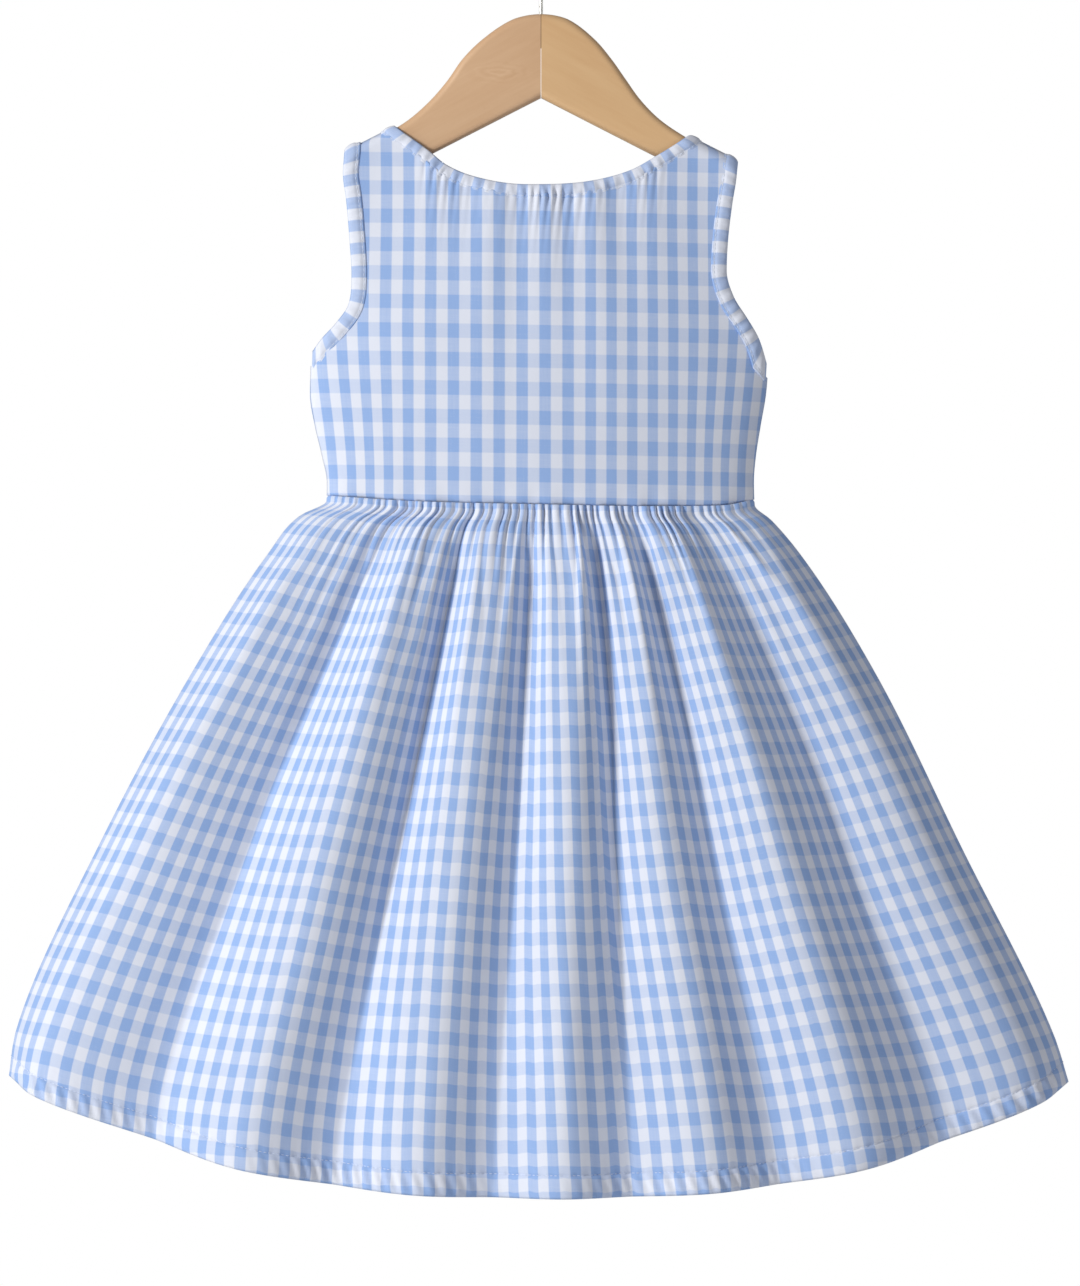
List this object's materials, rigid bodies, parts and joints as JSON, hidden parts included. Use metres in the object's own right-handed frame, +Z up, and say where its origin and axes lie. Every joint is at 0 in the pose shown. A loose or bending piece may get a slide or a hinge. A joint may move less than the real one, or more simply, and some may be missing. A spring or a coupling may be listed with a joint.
{
  "type": "sleeveless gingham dress on a wooden hanger",
  "caption": "Girl's sleeveless gingham dress with a scooped neck, bound armholes and a gathered full skirt, hanging from a wooden clothes hanger with a wire hook.",
  "frame": {"origin": "inner top of the hanger's hook, where a rail bears", "axes": "+Z up, +X to the right as seen from the shown side, which faces -Y"},
  "size_m": [0.6798, 0.1842, 0.8124],
  "materials": {
    "gingham": "plain-woven blue and white checked cotton, matt",
    "binding": "the same checked cotton, cut across and folded as a narrow band",
    "pale_wood": "sanded, clear satin",
    "golden_wood": "sanded, clear satin",
    "wire": "bright plated wire"
  },
  "bodies": {
    "root": {"bodice_front": "gingham", "bodice_back": "gingham", "skirt_front": "gingham", "skirt_back": "gingham", "neck_binding_front": "binding", "neck_binding_back": "binding", "armhole_binding_left": "binding", "armhole_binding_right": "binding", "hanger_arm_left": "pale_wood", "hanger_arm_right": "golden_wood", "hook": "wire"}
  },
  "joints": []
}
